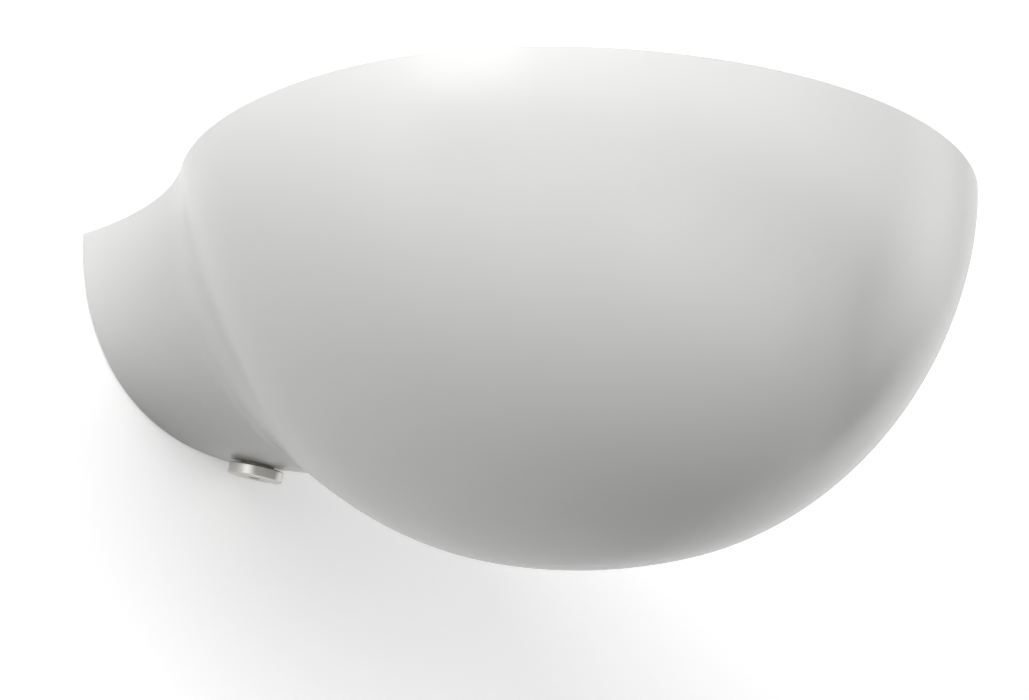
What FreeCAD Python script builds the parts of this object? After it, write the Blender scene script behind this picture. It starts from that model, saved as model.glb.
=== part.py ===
import FreeCAD, Part
import math
import os

# Uplighter wall sconce: a half-flask shell of cast aluminium, open at the top, on a steel wall bracket.
# Frame: the wall is the plane y = 0, the room is at -Y, +X runs along the wall and +Z is up.
# The origin is on the wall, midway between the two fixing slots. "Station" means distance out from
# the wall and "depth" means distance down from the rim. Everything is in millimetres.

Vec = FreeCAD.Vector
X_AXIS = Vec(1, 0, 0)
Y_AXIS = Vec(0, 1, 0)
Z_AXIS = Vec(0, 0, 1)

# ---- Driving dimensions: shell ----
RIM_HEIGHT = 34.0            # rim plane above the fixing line
PROJECTION = 300.0           # wall to the tip of the bowl
WALL = 3.0                   # thickness of the casting
BOWL_HALF_WIDTH = 143.0
BOWL_DEPTH = 136.5
RIM_CENTRE = 176.8           # station of the widest point of the rim
KEEL_CENTRE = 186.4          # station of the deepest point of the keel
RIM_REAR = 148.5             # rear half length of the rim ellipse
KEEL_REAR = 170.4            # rear half length of the keel ellipse
NECK_HALF_WIDTH = 75.2       # at the wall
NECK_DEPTH = 67.7            # at the wall
NECK_SIDE_FLARE = 0.0        # degrees, seen from above
NECK_KEEL_FLARE = 15.8       # degrees, seen from the side
RIM_BLEND = 125.4            # arc between neck and bowl along the rim
KEEL_BLEND = 20.8            # arc between neck and bowl along the keel
NECK_SQUARENESS = 2.34       # section exponent at the wall, where 2 is an ellipse
BOWL_SQUARENESS = 1.75       # section exponent of the bowl
SQUARENESS_REACH = 83.0      # station where the section has become the bowl's
LUG_STATION = 10.0           # hanging lugs inside the neck
LUG_RADIUS = 2.5
LUG_HEIGHT = 6.0             # above the fixing line
POST_RADIUS = 4.5            # screw posts for the reflector
REAR_POST = (64.0, 38.0)     # half spacing, station
FRONT_POST = (112.0, 224.0)

# ---- Driving dimensions: locking screw ----
SCREW_STATION = 15.9
SCREW_RADIUS = 2.5           # M5
SCREW_PITCH = 0.8
SCREW_TURNS = 6.0
HEAD_RADIUS = 10.0
HEAD_HEIGHT = 4.0
SOCKET_ACROSS_FLATS = 4.0
WASHER_RADIUS = 6.0
WASHER_THICKNESS = 1.2
SPOT_FACE_DEPTH = 0.3
SCREW_BOSS_RADIUS = 8.0
SCREW_BOSS_HEIGHT = 2.5
NUT_ACROSS_FLATS = 8.0
NUT_HEIGHT = 4.0

# ---- Driving dimensions: wall bracket ----
SHEET = 2.0
BRACKET_HALF_WIDTH = 60.0
BRACKET_TOP = 20.0
BRACKET_SHOULDER = 2.0       # where the sides start to run in
TAB_HALF_WIDTH = 11.0
TAB_REACH = 28.0
FIXING_SPACING = 88.0
SLOT_LENGTH = 12.0
SLOT_WIDTH = 5.0
EAR_REACH = 18.0
EAR_TOP = 16.0
EAR_BOTTOM = 0.0
CABLE_HOLE = (-16.0, 4.0)    # x, z of the cable entry
CABLE_RADIUS = 6.0
BUSH_SLEEVE_RADIUS = 9.0
BUSH_FLANGE_RADIUS = 13.0
BUSH_FLANGE_THICKNESS = 1.5
BUSH_LENGTH = 6.0
EARTH_STUD = (8.0, -17.0)    # x, z
EARTH_SCREW_RADIUS = 1.95    # M4
EARTH_TAG_RADIUS = 4.0
TAG_THICKNESS = 0.8

# ---- Driving dimensions: terminal block ----
BLOCK_LEFT = 2.0
BLOCK_WIDTH = 24.0
BLOCK_REACH = 15.0
BLOCK_HEIGHT = 24.0
BLOCK_CENTRE = 6.0           # height of its middle
POLE_PITCH = 12.0
INSERT_RADIUS = 2.95
INSERT_BORE = 1.6
INSERT_LENGTH = 18.0
CLAMP_SPACING = 11.0
CLAMP_RADIUS = 1.5
CLAMP_HEAD_RADIUS = 2.1

# ---- Driving dimensions: reflector and glass ----
FLANGE_DEPTH = 10.0          # rim down to the reflector flange
REFLECTOR_SHEET = 1.0
FLANGE_CLEARANCE = 1.5
FLANGE_REAR = 3.0            # station where the flange starts
TROUGH_STATION = 168.0
TROUGH_TOP = (184.0, 88.0)   # length along the wall, width out of it, inside
TROUGH_BOTTOM = (164.0, 60.0)
TROUGH_CORNER = 14.0
TROUGH_DEPTH = 38.0
GLASS_THICKNESS = 4.0
GLASS_OVERLAP = 6.0
CLIP_HALF_SPACING = 66.0
CLIP_WIDTH = 10.0
CLIP_SHEET = 0.8
CLIP_LIP = 5.0
CLIP_FOOT = 10.0
SMALL_SCREW_RADIUS = 1.45    # 3 mm sheet-metal screws
SMALL_HEAD_RADIUS = 3.2
SMALL_HEAD_HEIGHT = 2.2
SMALL_SCREW_LENGTH = 9.0

# ---- Driving dimensions: lamp and lampholders ----
LAMP_LENGTH = 117.6          # R7s double-ended lamp
LAMP_CONTACT_RECESS = 1.7
LAMP_TUBE_RADIUS = 5.0
LAMP_TUBE_WALL = 1.0
LAMP_TUBE_LENGTH = 80.0
CAP_RADIUS = 4.2
CAP_BORE = 2.4
BUTTON_RADIUS = 2.3
LAMP_ABOVE_FLOOR = 18.0
HOLDER = (24.0, 18.0, 26.0)  # length, width, height
HOLDER_MOUTH_RADIUS = 6.0
HOLDER_MOUTH_DEPTH = 8.5
HOLDER_CAP_OVERLAP = 6.8     # lamp end inside the mouth
CONTACT_RADIUS = 2.5
CONTACT_NOSE_RADIUS = 1.9
CONTACT_LENGTH = 7.0         # its thick part
CONTACT_TRAVEL = 3.0
HOLDER_BACK = 2.0            # ceramic behind the spring
HOLDER_SCREW_SPACING = 11.0
FILAMENT_RADIUS = 0.8

# ---- Driving dimensions: leads ----
LEAD_RADIUS = 1.1
LEAD_HOLE = 1.3
SPADE = (6.3, 0.8, 9.0)      # width, thickness, length
SPADE_PLACE = (52.0, 60.0)   # x, station

# ---- Clearances ----
RUNNING = 0.05               # radial, shaft in its bore
THROUGH = 0.3                # radial, screw through a plain hole
LUG_CLEARANCE = 0.2

# ---- Derived places ----
FLANGE_TOP = RIM_HEIGHT - FLANGE_DEPTH
FLANGE_UNDER = FLANGE_TOP - REFLECTOR_SHEET
FLOOR_TOP = FLANGE_TOP - TROUGH_DEPTH
FLOOR_UNDER = FLOOR_TOP - REFLECTOR_SHEET
LAMP_HEIGHT = FLOOR_TOP + LAMP_ABOVE_FLOOR
CONTACT_FACE = LAMP_LENGTH / 2 - LAMP_CONTACT_RECESS
HOLDER_FRONT = LAMP_LENGTH / 2 - HOLDER_CAP_OVERLAP
MOUTH_END = HOLDER_FRONT + HOLDER_MOUTH_DEPTH
BORE_END = HOLDER_FRONT + HOLDER[0] - HOLDER_BACK
SHOULDER = MOUTH_END + 0.5
CONTACT_BACK = SHOULDER + CONTACT_LENGTH
LEAD_ENTRY = HOLDER_FRONT + HOLDER[0] - 7.0
KEEL_SLOPE = math.tan(math.radians(NECK_KEEL_FLARE))


# ---- Shell form ----
def outline(length, depth, flare, blend, centre, rear, half, inset):
    """Half outline of the shell seen from above or from the side: line, arc, rear and front ellipse.

    Returns a function that gives the distance from the middle at a station.
    """
    slope = math.tan(math.radians(flare))
    start = depth - inset / math.cos(math.radians(flare))
    radius = blend + inset
    rear_axis = rear - inset
    half_axis = half - inset
    normal = Vec(-slope, 1, 0).normalize()

    def on_ellipse(angle):
        point = Vec(centre - rear_axis * math.cos(angle), half_axis * math.sin(angle), 0)
        outward = Vec(-half_axis * math.cos(angle), rear_axis * math.sin(angle), 0).normalize()
        return point, point + outward * radius

    low = 0.02
    high = math.pi / 2
    for _ in range(60):
        middle = (low + high) / 2
        arc_centre = on_ellipse(middle)[1]
        if (arc_centre - Vec(0, start, 0)).dot(normal) < radius:
            low = middle
        else:
            high = middle
    touch, arc_centre = on_ellipse(low)
    foot = arc_centre - normal * radius

    def distance(station):
        if station < foot.x:
            return start + slope * station
        if station < touch.x:
            return arc_centre.y - math.sqrt(radius ** 2 - (station - arc_centre.x) ** 2)
        axis = rear_axis if station < centre else length - inset - centre
        return half_axis * math.sqrt(max(0.0, 1 - ((station - centre) / axis) ** 2))

    distance.foot = max(foot.x, 0.0)
    distance.touch = touch.x
    return distance


def skin(inset):
    """Half width, depth and section exponent of the shell's surface, moved inwards by inset."""
    width = outline(PROJECTION, NECK_HALF_WIDTH, NECK_SIDE_FLARE, RIM_BLEND,
                    RIM_CENTRE, RIM_REAR, BOWL_HALF_WIDTH, inset)
    depth = outline(PROJECTION, NECK_DEPTH, NECK_KEEL_FLARE, KEEL_BLEND,
                    KEEL_CENTRE, KEEL_REAR, BOWL_DEPTH, inset)

    def exponent(station):
        neck_share = max(0.0, 1 - station / SQUARENESS_REACH) ** 2
        return BOWL_SQUARENESS + (NECK_SQUARENESS - BOWL_SQUARENESS) * neck_share

    return width, depth, exponent


def half_width_at(surface, station, depth_below_rim):
    """Half width of the shell's surface at a station, at a depth below the rim."""
    width, depth, exponent = surface
    power = exponent(station)
    share = min(1.0, depth_below_rim / depth(station)) if depth(station) > 0 else 1.0
    return width(station) * (1 - share ** power) ** (1 / power)


def stations(surface, inset):
    """Stations of the sections: close together round the keel's blend, and even in angle on the bowl."""
    depth = surface[1]
    neck = [depth.foot * i / 3 for i in range(3)]
    blend = [depth.foot + (depth.touch - depth.foot) * i / 4 for i in range(4)]
    start = math.acos((RIM_CENTRE - depth.touch) / (RIM_REAR + 10))
    rear = [RIM_CENTRE - (RIM_REAR + 10) * math.cos(start + (math.pi / 2 - start) * i / 9) for i in range(9)]
    front_length = PROJECTION - inset - RIM_CENTRE
    front = [RIM_CENTRE + front_length * math.sin(math.pi / 2 * i / 11) for i in range(12)]
    return neck + blend + rear + front


def section_point(surface, station, angle):
    """Point of a section in a direction, where 0 is straight down and a quarter turn is the rim."""
    width, depth, exponent = surface
    side = math.sin(angle)
    drop = math.cos(angle) if abs(angle) < math.pi / 2 - 1e-6 else 0.0
    power = exponent(station)
    reach = (abs(side) ** power + drop ** power) ** (-1 / power)
    return Vec(width(station) * reach * side, -station, RIM_HEIGHT - depth(station) * reach * drop)


def curve_poles(points, parameters):
    curve = Part.BSplineCurve()
    curve.interpolate(Points=points, Parameters=parameters)
    return curve


def skin_face(inset):
    """Smooth surface through the sections, closed to a point at the tip."""
    surface = skin(inset)
    places = stations(surface, inset)
    steps = 16
    angles = [-math.pi / 2 + math.pi * j / steps for j in range(steps + 1)]
    across = [j / steps for j in range(steps + 1)]
    rows = []
    along = [0.0]
    tip = Vec(0, -places[-1], RIM_HEIGHT)
    for place in places[:-1]:
        points = [section_point(surface, place, angle) for angle in angles]
        row = curve_poles(points, across)
        rows.append(row.getPoles())
    rows.append([tip] * len(rows[0]))
    for previous, place in zip(places, places[1:]):
        rise = surface[0](place) - surface[0](previous)
        along.append(along[-1] + math.hypot(place - previous, rise))
    columns = [curve_poles([row[j] for row in rows], along) for j in range(len(rows[0]))]
    poles = [[column.getPole(i + 1) for column in columns] for i in range(columns[0].NbPoles)]
    result = Part.BSplineSurface()
    result.buildFromPolesMultsKnots(poles, columns[0].getMultiplicities(), row.getMultiplicities(),
                                    columns[0].getKnots(), row.getKnots(), False, False, 3, 3)
    return result.toShape()


def half_flask(inset):
    """Solid half flask: the skin, a flat top at the rim and a flat back at the wall."""
    face = skin_face(inset)
    real_edges = [edge for edge in face.Edges if not edge.Degenerated]
    back_edge = [edge for edge in real_edges if edge.BoundBox.YLength < 1e-3]
    rim_edges = [edge for edge in real_edges if edge.BoundBox.ZLength < 1e-3]
    ends = [vertex.Point for vertex in back_edge[0].Vertexes]
    chord = Part.makeLine(ends[0], ends[1])
    top = Part.Face(Part.Wire(Part.__sortEdges__(rim_edges + [chord])))
    back = Part.Face(Part.Wire(Part.__sortEdges__(back_edge + [chord])))
    skin_shell = Part.makeShell([face, top, back])
    skin_shell.sewShape()
    solid = Part.makeSolid(skin_shell)
    if solid.Volume < 0:
        solid.reverse()
    return solid


# ---- Common shapes ----
def box(low, high):
    return Part.makeBox(high[0] - low[0], high[1] - low[1], high[2] - low[2], Vec(*low))


def rod(radius, start, axis, length):
    return Part.makeCylinder(radius, length, start, axis)


def rounded_rectangle(length, width, radius, centre):
    """Wire of a rounded rectangle in a level plane."""
    a = length / 2
    b = width / 2
    r = radius
    c = r * (1 - math.sqrt(0.5))
    corners = [(a, b, 1, 1), (-a, b, -1, 1), (-a, -b, -1, -1), (a, -b, 1, -1)]
    edges = []
    ends = []
    for index, (x, y, sx, sy) in enumerate(corners):
        first = Vec(x, y - sy * r, 0)
        last = Vec(x - sx * r, y, 0)
        if index % 2:
            first, last = last, first
        middle = Vec(x - sx * c, y - sy * c, 0)
        edges.append(Part.Arc(first + centre, middle + centre, last + centre).toShape())
        ends.append((first + centre, last + centre))
    for index in range(4):
        edges.append(Part.makeLine(ends[index][1], ends[(index + 1) % 4][0]))
    return Part.Wire(Part.__sortEdges__(edges))


def prism(points, thickness):
    """Solid from a flat polygon, pushed along a vector."""
    return Part.Face(Part.makePolygon(points + [points[0]])).extrude(thickness)


def hexagon(across_flats, start, axis, length, side):
    radius = across_flats / math.sqrt(3)
    other = axis.cross(side)
    corners = [start + side * (radius * math.cos(math.pi / 3 * i)) + other * (radius * math.sin(math.pi / 3 * i))
               for i in range(6)]
    return prism(corners, axis * length)


def pan_screw(seat, axis, shank_radius, length, head_radius, head_height):
    """Pan-head screw: axis points from the head into the work, seat is under the head."""
    head = rod(head_radius, seat - axis * head_height, axis, head_height)
    crown = [edge for edge in head.Edges if edge.CenterOfMass.isEqual(seat - axis * head_height, 1e-3)]
    head = head.makeFillet(head_height * 0.5, crown)
    drive = rod(shank_radius * 0.8, seat - axis * head_height, axis, head_height * 0.5)
    shank = rod(shank_radius, seat, axis, length)
    return head.cut(drive).fuse(shank).removeSplitter()


def edges_along(shape, axis):
    """Straight edges of a shape that run along an axis."""
    found = []
    for edge in shape.Edges:
        if edge.Curve.TypeId == "Part::GeomLine" and abs(abs(edge.Curve.Direction.dot(axis)) - 1) < 1e-6:
            found.append(edge)
    return found


# ---- Locking screw stack, measured along its own axis ----
SURFACE_HEIGHT = RIM_HEIGHT - NECK_DEPTH - SCREW_STATION * KEEL_SLOPE
SCREW_OUT = Vec(0, math.sin(math.radians(NECK_KEEL_FLARE)), -math.cos(math.radians(NECK_KEEL_FLARE)))
SCREW_POINT = Vec(0, -SCREW_STATION, SURFACE_HEIGHT)
BOSS_TOP = WALL + SCREW_BOSS_HEIGHT
NUT_SEAT = BOSS_TOP + SHEET
SCREW_TIP = NUT_SEAT + SCREW_PITCH * SCREW_TURNS
HEAD_SEAT = WASHER_THICKNESS - SPOT_FACE_DEPTH


def on_screw_axis(out):
    return SCREW_POINT + SCREW_OUT * out


# ---- Pieces ----
def make_shell():
    flask = half_flask(0)
    body = flask.cut(half_flask(WALL))
    for side in (-1, 1):
        for half_spacing, station in (REAR_POST, FRONT_POST):
            post = rod(POST_RADIUS, Vec(side * half_spacing, -station, RIM_HEIGHT - NECK_DEPTH),
                       Z_AXIS, FLANGE_UNDER - RIM_HEIGHT + NECK_DEPTH)
            body = body.fuse(post.common(flask))
        lug_depth = RIM_HEIGHT - LUG_HEIGHT
        wall_x = half_width_at(skin(WALL), LUG_STATION, lug_depth) + WALL / 2
        lug_length = wall_x - (BRACKET_HALF_WIDTH - SHEET - 3.0)
        body = body.fuse(rod(LUG_RADIUS, Vec(side * wall_x, -LUG_STATION, LUG_HEIGHT), X_AXIS * -side, lug_length))
    boss = rod(SCREW_BOSS_RADIUS, on_screw_axis(-BOSS_TOP), SCREW_OUT, BOSS_TOP).common(flask)
    body = body.fuse(boss)
    for side in (-1, 1):
        for half_spacing, station in (REAR_POST, FRONT_POST):
            body = body.cut(rod(SMALL_SCREW_RADIUS + RUNNING, Vec(side * half_spacing, -station, FLANGE_UNDER),
                                -Z_AXIS, SMALL_SCREW_LENGTH + 2))
    body = body.cut(rod(SCREW_RADIUS + THROUGH, on_screw_axis(-BOSS_TOP - 5), SCREW_OUT, BOSS_TOP + 10))
    return body.cut(rod(WASHER_RADIUS + THROUGH, on_screw_axis(-SPOT_FACE_DEPTH), SCREW_OUT, 5))


def make_locking_screw():
    head = rod(HEAD_RADIUS, on_screw_axis(HEAD_SEAT), SCREW_OUT, HEAD_HEIGHT)
    head = head.makeChamfer(0.4, [edge for edge in head.Edges if edge.Curve.TypeId == "Part::GeomCircle"])
    socket = hexagon(SOCKET_ACROSS_FLATS, on_screw_axis(HEAD_SEAT + HEAD_HEIGHT - 2.5), SCREW_OUT, 3, X_AXIS)
    shank = rod(SCREW_RADIUS, on_screw_axis(-SCREW_TIP), SCREW_OUT, SCREW_TIP + HEAD_SEAT)
    tip = [edge for edge in shank.Edges if edge.CenterOfMass.isEqual(on_screw_axis(-SCREW_TIP), 1e-3)]
    return head.fuse(shank.makeChamfer(0.5, tip)).cut(socket).removeSplitter()


def make_screw_washer():
    disc = rod(WASHER_RADIUS, on_screw_axis(-SPOT_FACE_DEPTH), SCREW_OUT, WASHER_THICKNESS)
    return disc.cut(rod(SCREW_RADIUS + RUNNING, on_screw_axis(-1), SCREW_OUT, WASHER_THICKNESS + 2))


def make_clamp_nut():
    nut = hexagon(NUT_ACROSS_FLATS, on_screw_axis(-NUT_SEAT - NUT_HEIGHT), SCREW_OUT, NUT_HEIGHT, X_AXIS)
    return nut.cut(rod(SCREW_RADIUS + RUNNING, on_screw_axis(-NUT_SEAT - NUT_HEIGHT - 1), SCREW_OUT, NUT_HEIGHT + 2))


def make_wall_bracket():
    under = on_screw_axis(-BOSS_TOP)
    wall_under = under.z + (-under.y) * KEEL_SLOPE
    bottom = wall_under + SHEET
    plate = prism([Vec(-BRACKET_HALF_WIDTH, 0, BRACKET_TOP), Vec(-BRACKET_HALF_WIDTH, 0, BRACKET_SHOULDER),
                   Vec(-TAB_HALF_WIDTH - 8, 0, bottom), Vec(TAB_HALF_WIDTH + 8, 0, bottom),
                   Vec(BRACKET_HALF_WIDTH, 0, BRACKET_SHOULDER), Vec(BRACKET_HALF_WIDTH, 0, BRACKET_TOP)],
                  -Y_AXIS * SHEET)
    upright = [edge for edge in edges_along(plate, Y_AXIS)]
    plate = plate.makeFillet(3, upright)
    rise = SHEET / math.cos(math.radians(NECK_KEEL_FLARE))
    tab_end = wall_under - TAB_REACH * KEEL_SLOPE
    left = -TAB_HALF_WIDTH
    tab = prism([Vec(left, 0, wall_under), Vec(left, -TAB_REACH, tab_end),
                 Vec(left, -TAB_REACH, tab_end + rise), Vec(left, -SHEET, wall_under + rise - SHEET * KEEL_SLOPE),
                 Vec(left, -SHEET, bottom + 3), Vec(left, 0, bottom + 3)], X_AXIS * 2 * TAB_HALF_WIDTH)
    corners = [edge for edge in edges_along(tab, X_AXIS) if abs(edge.CenterOfMass.y) < 1e-6
               and edge.CenterOfMass.z < bottom]
    tab = tab.makeFillet(SHEET, corners)
    body = plate.fuse(tab)
    for side in (-1, 1):
        ear = box((BRACKET_HALF_WIDTH - SHEET, -EAR_REACH, EAR_BOTTOM), (BRACKET_HALF_WIDTH, 0, EAR_TOP))
        front = [edge for edge in edges_along(ear, X_AXIS) if edge.CenterOfMass.y < -1]
        ear = ear.makeFillet(5, front)
        slot_radius = LUG_RADIUS + LUG_CLEARANCE
        notch = rod(slot_radius, Vec(0, -LUG_STATION, LUG_HEIGHT), X_AXIS, BRACKET_HALF_WIDTH + 5)
        notch = notch.fuse(box((0, -LUG_STATION - slot_radius, LUG_HEIGHT),
                               (BRACKET_HALF_WIDTH + 5, -LUG_STATION + slot_radius, EAR_TOP + 5)))
        ear = ear.cut(notch)
        if side < 0:
            ear = ear.mirror(Vec(0, 0, 0), X_AXIS)
        body = body.fuse(ear)
        centre = side * FIXING_SPACING / 2
        half = (SLOT_LENGTH - SLOT_WIDTH) / 2
        slot = box((centre - half, -SHEET - 1, -SLOT_WIDTH / 2), (centre + half, 1, SLOT_WIDTH / 2))
        for end in (-half, half):
            slot = slot.fuse(rod(SLOT_WIDTH / 2, Vec(centre + end, 1, 0), -Y_AXIS, SHEET + 2))
        body = body.cut(slot)
    body = body.cut(rod(SCREW_RADIUS + THROUGH, on_screw_axis(-NUT_SEAT - 1), SCREW_OUT, SHEET + 2))
    holes = [(BUSH_SLEEVE_RADIUS + RUNNING, CABLE_HOLE[0], CABLE_HOLE[1]),
             (EARTH_SCREW_RADIUS + RUNNING, EARTH_STUD[0], EARTH_STUD[1]),
             (SMALL_SCREW_RADIUS + RUNNING, BLOCK_LEFT + BLOCK_WIDTH / 2, BLOCK_CENTRE)]
    for radius, x, z in holes:
        body = body.cut(rod(radius, Vec(x, 1, z), -Y_AXIS, SHEET + 2))
    return body.removeSplitter()


def make_cable_bush():
    centre = Vec(CABLE_HOLE[0], 0, CABLE_HOLE[1])
    sleeve = rod(BUSH_SLEEVE_RADIUS, centre, -Y_AXIS, BUSH_LENGTH)
    flange = rod(BUSH_FLANGE_RADIUS, centre - Y_AXIS * SHEET, -Y_AXIS, BUSH_FLANGE_THICKNESS)
    return sleeve.fuse(flange).cut(rod(CABLE_RADIUS, centre + Y_AXIS, -Y_AXIS, BUSH_LENGTH + 2)).removeSplitter()


def pole_heights():
    return [BLOCK_CENTRE - POLE_PITCH / 2, BLOCK_CENTRE + POLE_PITCH / 2]


def clamp_places():
    middle = BLOCK_LEFT + BLOCK_WIDTH / 2
    return [(middle + side * CLAMP_SPACING / 2, z) for z in pole_heights() for side in (-1, 1)]


POLE_STATION = SHEET + BLOCK_REACH / 2


def make_terminal_block():
    body = box((BLOCK_LEFT, -SHEET - BLOCK_REACH, BLOCK_CENTRE - BLOCK_HEIGHT / 2),
               (BLOCK_LEFT + BLOCK_WIDTH, -SHEET, BLOCK_CENTRE + BLOCK_HEIGHT / 2))
    body = body.makeFillet(1.2, edges_along(body, X_AXIS)[:] and
                           [edge for edge in edges_along(body, X_AXIS) if edge.CenterOfMass.y < -SHEET - 1])
    middle = BLOCK_LEFT + BLOCK_WIDTH / 2
    front = -SHEET - BLOCK_REACH
    for z in pole_heights():
        body = body.cut(rod(INSERT_RADIUS + RUNNING, Vec(BLOCK_LEFT - 1, -POLE_STATION, z), X_AXIS, BLOCK_WIDTH + 2))
    for x, z in clamp_places():
        body = body.cut(rod(CLAMP_HEAD_RADIUS + THROUGH, Vec(x, front - 1, z), Y_AXIS, BLOCK_REACH / 2 + 1))
    body = body.cut(rod(SMALL_SCREW_RADIUS + THROUGH, Vec(middle, front - 1, BLOCK_CENTRE), Y_AXIS, BLOCK_REACH + 2))
    return body.removeSplitter()


def make_terminal_inserts():
    start = BLOCK_LEFT + (BLOCK_WIDTH - INSERT_LENGTH) / 2
    inserts = []
    for index, z in enumerate(pole_heights()):
        insert = rod(INSERT_RADIUS, Vec(start, -POLE_STATION, z), X_AXIS, INSERT_LENGTH)
        insert = insert.cut(rod(INSERT_BORE, Vec(start - 1, -POLE_STATION, z), X_AXIS, INSERT_LENGTH + 2))
        for x, height in clamp_places()[2 * index:2 * index + 2]:
            insert = insert.cut(rod(CLAMP_RADIUS + RUNNING, Vec(x, -POLE_STATION, height), -Y_AXIS, INSERT_RADIUS + 1))
        inserts.append(insert)
    return Part.makeCompound(inserts)


def make_terminal_screws():
    screws = []
    for x, z in clamp_places():
        seat = Vec(x, -POLE_STATION - INSERT_RADIUS - 0.6, z)
        head = rod(CLAMP_HEAD_RADIUS, seat, -Y_AXIS, 2.0)
        slot = box((x - 3, seat.y - 3, z - 0.4), (x + 3, seat.y - 1.2, z + 0.4))
        shank = rod(CLAMP_RADIUS, seat, Y_AXIS, INSERT_RADIUS + 0.6 - LEAD_RADIUS - 0.2)
        screws.append(head.cut(slot).fuse(shank).removeSplitter())
    return Part.makeCompound(screws)


def make_terminal_block_screw():
    seat = Vec(BLOCK_LEFT + BLOCK_WIDTH / 2, -SHEET - BLOCK_REACH, BLOCK_CENTRE)
    return pan_screw(seat, Y_AXIS, SMALL_SCREW_RADIUS, BLOCK_REACH + SHEET, 2.8, 2.0)


def make_earth_tag():
    centre = Vec(EARTH_STUD[0], -SHEET, EARTH_STUD[1])
    ring = rod(EARTH_TAG_RADIUS, centre, -Y_AXIS, TAG_THICKNESS)
    tongue = box((centre.x, centre.y - TAG_THICKNESS, centre.z - 1.6), (centre.x + 6.5, centre.y, centre.z + 1.6))
    barrel_axis = Vec(centre.x + 6, tag_lead_y(), centre.z)
    barrel = rod(LEAD_RADIUS + 0.7, barrel_axis, X_AXIS, 6)
    tag = ring.fuse(tongue).fuse(barrel)
    tag = tag.cut(rod(LEAD_RADIUS + RUNNING, barrel_axis + X_AXIS * 0.8, X_AXIS, 8))
    return tag.cut(rod(EARTH_SCREW_RADIUS + THROUGH, centre + Y_AXIS, -Y_AXIS, 3)).removeSplitter()


def tag_lead_y():
    return -SHEET - LEAD_RADIUS - 0.8


def make_earth_washer():
    centre = Vec(EARTH_STUD[0], -SHEET - TAG_THICKNESS, EARTH_STUD[1])
    disc = rod(EARTH_TAG_RADIUS - 0.2, centre, -Y_AXIS, TAG_THICKNESS)
    return disc.cut(rod(EARTH_SCREW_RADIUS + THROUGH, centre + Y_AXIS, -Y_AXIS, 3))


def make_earth_screw():
    seat = Vec(EARTH_STUD[0], -SHEET - 2 * TAG_THICKNESS, EARTH_STUD[1])
    return pan_screw(seat, Y_AXIS, EARTH_SCREW_RADIUS, SHEET + 2 * TAG_THICKNESS, 3.6, 2.4)


# ---- Reflector and glass ----
def flange_wire(height):
    """Edge of the reflector flange: the shell's inside at flange depth, less a clearance."""
    inset = WALL + FLANGE_CLEARANCE
    surface = skin(inset)
    depth = FLANGE_DEPTH + REFLECTOR_SHEET
    low = KEEL_CENTRE
    high = PROJECTION - inset
    for _ in range(50):
        middle = (low + high) / 2
        if surface[1](middle) > depth:
            low = middle
        else:
            high = middle
    tip = low
    steps = 7
    places = [FLANGE_REAR + (RIM_CENTRE - FLANGE_REAR) * i / steps for i in range(steps)]
    places += [RIM_CENTRE + (tip - RIM_CENTRE) * math.sin(math.pi / 2 * i / steps) for i in range(steps)]
    right = [Vec(half_width_at(surface, place, depth), -place, height) for place in places]
    left = [Vec(-point.x, point.y, height) for point in reversed(right)]
    curve = Part.BSplineCurve()
    curve.interpolate(right + [Vec(0, -tip, height)] + left)
    return Part.Wire([curve.toShape(), Part.makeLine(left[-1], right[0])])


def trough(grow, top, bottom):
    """Tapered pocket, larger all round by grow, between two heights of the reflector."""
    wires = []
    for height in (top, bottom):
        share = (FLANGE_TOP - height) / TROUGH_DEPTH
        length = TROUGH_TOP[0] + (TROUGH_BOTTOM[0] - TROUGH_TOP[0]) * share + 2 * grow
        width = TROUGH_TOP[1] + (TROUGH_BOTTOM[1] - TROUGH_TOP[1]) * share + 2 * grow
        wires.append(rounded_rectangle(length, width, TROUGH_CORNER + grow, Vec(0, -TROUGH_STATION, height)))
    return Part.makeLoft(wires, True, True)


def post_places():
    return [(side * x, y) for side in (-1, 1) for x, y in (REAR_POST, FRONT_POST)]


def clip_places():
    """x, station of each clip's screw and the direction from it to the glass."""
    reach = TROUGH_TOP[1] / 2 + GLASS_OVERLAP + CLIP_FOOT / 2
    return [(side * CLIP_HALF_SPACING, TROUGH_STATION + way * reach, -way) for side in (-1, 1) for way in (-1, 1)]


def holder_screw_places():
    middle = HOLDER_FRONT + HOLDER[0] / 2 - 2
    return [(side * middle, TROUGH_STATION + way * HOLDER_SCREW_SPACING / 2) for side in (-1, 1) for way in (-1, 1)]


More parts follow.
